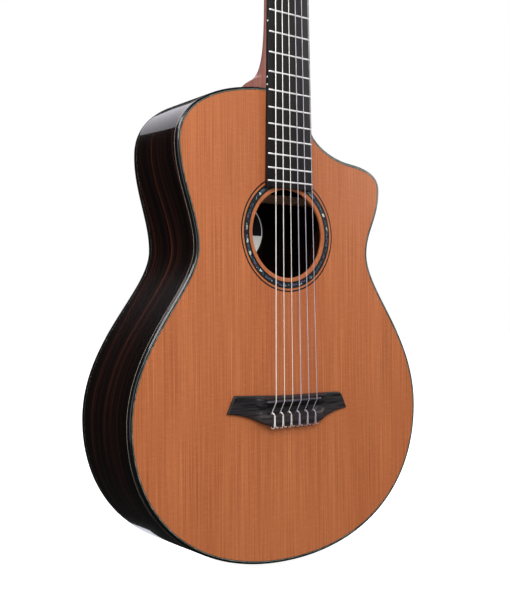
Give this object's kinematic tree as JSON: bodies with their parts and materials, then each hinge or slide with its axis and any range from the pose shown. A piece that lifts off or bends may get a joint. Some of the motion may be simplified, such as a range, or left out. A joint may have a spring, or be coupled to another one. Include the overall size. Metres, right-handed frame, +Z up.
{
  "type": "classical guitar",
  "caption": "Nylon-string classical guitar with a soft cutaway, slotted head, worm-geared tuners and a tie bridge.",
  "frame": {"origin": "on the neck's centre line at the nut's string edge, in the plane of the soundboard's face", "axes": "+Z up the neck to the head, +Y from the soundboard to the back, +X to the treble side"},
  "size_m": [0.383, 0.1146, 1.0113],
  "materials": {
    "cedar": "satin lacquer",
    "rosewood": "gloss lacquer",
    "mahogany": "satin",
    "spruce": "bare wood",
    "ebony": "satin",
    "binding": "gloss",
    "purfling": "gloss lacquer",
    "shell": "mother-of-pearl, polished",
    "label": "paper",
    "nickel_silver": "polished",
    "dot": "gloss",
    "bone": "polished bone",
    "dark_saddle": "satin",
    "brass": "polished",
    "button": "polished",
    "string": "nylon and silver-plated wire"
  },
  "bodies": {
    "guitar": {"soundboard": "cedar", "back": "rosewood", "side_bass": "rosewood", "side_treble": "rosewood", "tail_wedge": "binding", "top_binding": "binding", "back_binding": "binding", "top_purfling": "purfling", "neck_block": "mahogany", "tail_block": "mahogany", "linings": "spruce", "top_braces": "spruce", "bridge_plate": "spruce", "back_braces": "spruce", "rosette_shell": "shell", "rosette_lines": "binding", "label": "label", "neck": "mahogany", "headstock": "mahogany", "heel_cap": "ebony", "head_veneer": "ebony", "fingerboard": "ebony", "frets": "nickel_silver", "side_dots": "dot", "nut": "bone", "saddle": "dark_saddle", "bridge": "ebony", "tuner_plates": "brass", "tuner_screws": "brass", "strings": "string"},
    "button_1": {"button_1": "button", "worm_1": "brass"},
    "roller_1": {"roller_1": "bone", "gear_1": "brass", "winding_1": "string"},
    "button_2": {"button_2": "button", "worm_2": "brass"},
    "roller_2": {"roller_2": "bone", "gear_2": "brass", "winding_2": "string"},
    "button_3": {"button_3": "button", "worm_3": "brass"},
    "roller_3": {"roller_3": "bone", "gear_3": "brass", "winding_3": "string"},
    "button_4": {"button_4": "button", "worm_4": "brass"},
    "roller_4": {"roller_4": "bone", "gear_4": "brass", "winding_4": "string"},
    "button_5": {"button_5": "button", "worm_5": "brass"},
    "roller_5": {"roller_5": "bone", "gear_5": "brass", "winding_5": "string"},
    "button_6": {"button_6": "button", "worm_6": "brass"},
    "roller_6": {"roller_6": "bone", "gear_6": "brass", "winding_6": "string"}
  },
  "joints": [
    {"name": "button_1_turn", "type": "hinge", "parent": "guitar", "child": "button_1", "pos_m": [0.03895, 0.02456, 0.07138], "axis": [0, 0.9744, -0.225], "continuous": true},
    {"name": "roller_1_turn", "type": "hinge", "parent": "guitar", "child": "roller_1", "pos_m": [0, 0.02272, 0.06339], "axis": [1, 0, 0], "continuous": true},
    {"name": "button_2_turn", "type": "hinge", "parent": "guitar", "child": "button_2", "pos_m": [0.03895, 0.03243, 0.10548], "axis": [0, 0.9744, -0.225], "continuous": true},
    {"name": "roller_2_turn", "type": "hinge", "parent": "guitar", "child": "roller_2", "pos_m": [0, 0.03059, 0.09749], "axis": [1, 0, 0], "continuous": true},
    {"name": "button_3_turn", "type": "hinge", "parent": "guitar", "child": "button_3", "pos_m": [0.03895, 0.04031, 0.13958], "axis": [0, 0.9744, -0.225], "continuous": true},
    {"name": "roller_3_turn", "type": "hinge", "parent": "guitar", "child": "roller_3", "pos_m": [0, 0.03846, 0.13159], "axis": [1, 0, 0], "continuous": true},
    {"name": "button_4_turn", "type": "hinge", "parent": "guitar", "child": "button_4", "pos_m": [-0.03895, 0.04031, 0.13958], "axis": [0, 0.9744, -0.225], "continuous": true},
    {"name": "roller_4_turn", "type": "hinge", "parent": "guitar", "child": "roller_4", "pos_m": [0, 0.03846, 0.13159], "axis": [1, 0, 0], "continuous": true},
    {"name": "button_5_turn", "type": "hinge", "parent": "guitar", "child": "button_5", "pos_m": [-0.03895, 0.03243, 0.10548], "axis": [0, 0.9744, -0.225], "continuous": true},
    {"name": "roller_5_turn", "type": "hinge", "parent": "guitar", "child": "roller_5", "pos_m": [0, 0.03059, 0.09749], "axis": [1, 0, 0], "continuous": true},
    {"name": "button_6_turn", "type": "hinge", "parent": "guitar", "child": "button_6", "pos_m": [-0.03895, 0.02456, 0.07138], "axis": [0, 0.9744, -0.225], "continuous": true},
    {"name": "roller_6_turn", "type": "hinge", "parent": "guitar", "child": "roller_6", "pos_m": [0, 0.02272, 0.06339], "axis": [1, 0, 0], "continuous": true}
  ],
  "couplings": [
    {"joint": "roller_1_turn", "follows": "button_1_turn", "ratio": 0.071429},
    {"joint": "roller_2_turn", "follows": "button_2_turn", "ratio": 0.071429},
    {"joint": "roller_3_turn", "follows": "button_3_turn", "ratio": 0.071429},
    {"joint": "roller_4_turn", "follows": "button_4_turn", "ratio": 0.071429},
    {"joint": "roller_5_turn", "follows": "button_5_turn", "ratio": 0.071429},
    {"joint": "roller_6_turn", "follows": "button_6_turn", "ratio": 0.071429}
  ]
}
